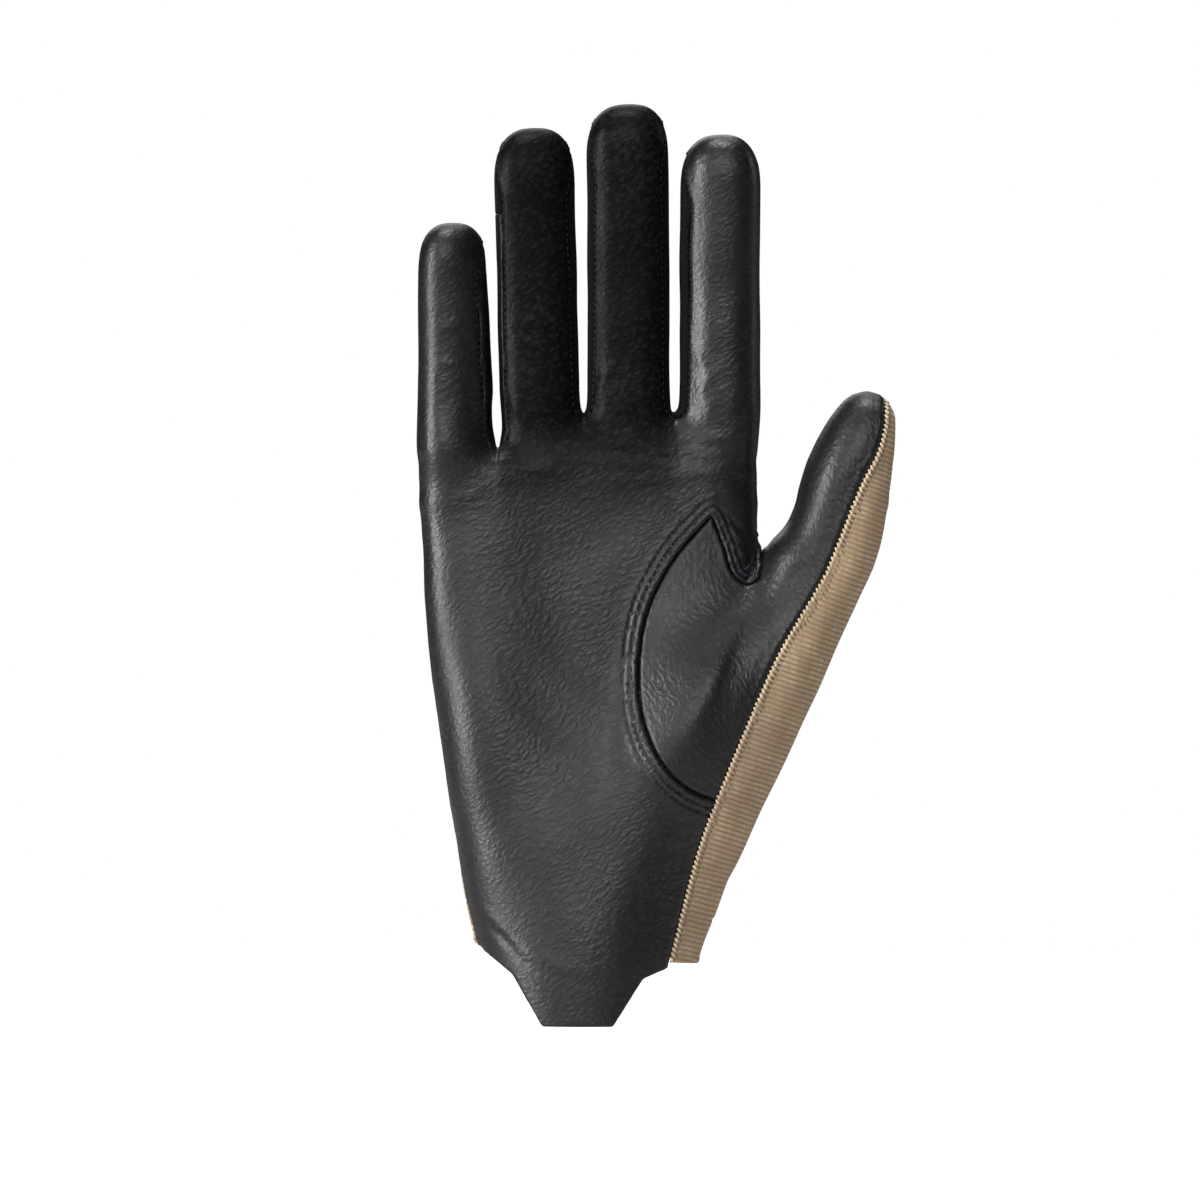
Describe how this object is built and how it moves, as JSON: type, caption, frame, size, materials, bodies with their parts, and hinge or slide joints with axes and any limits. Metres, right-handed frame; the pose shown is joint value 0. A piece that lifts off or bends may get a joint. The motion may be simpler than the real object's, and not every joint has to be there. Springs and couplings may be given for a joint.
{
  "type": "horse riding glove",
  "caption": "Right-hand riding glove, held in its worn shape and empty: black grained leather palm and thumb, tan ribbed knit back, dark side walls, short wrist tongue.",
  "frame": {"origin": "middle of the wrist mouth across its width and depth, level with the lowest point of the knitted back", "axes": "+Z from the wrist towards the fingertips, -Y the way the palm faces, +X towards the thumb"},
  "size_m": [0.1199, 0.0358, 0.2306],
  "materials": {
    "leather_black": "fine pebbled grain, satin",
    "knit_tan": "ribbed knit, matt",
    "mesh_navy": "fine mesh, matt"
  },
  "bodies": {
    "root": {"palm_leather": "leather_black", "thumb_leather": "leather_black", "knit_back": "knit_tan", "side_wall_index_middle": "mesh_navy", "side_wall_middle_ring": "mesh_navy", "side_wall_ring_tip": "mesh_navy", "rein_patch": "leather_black"}
  },
  "joints": []
}
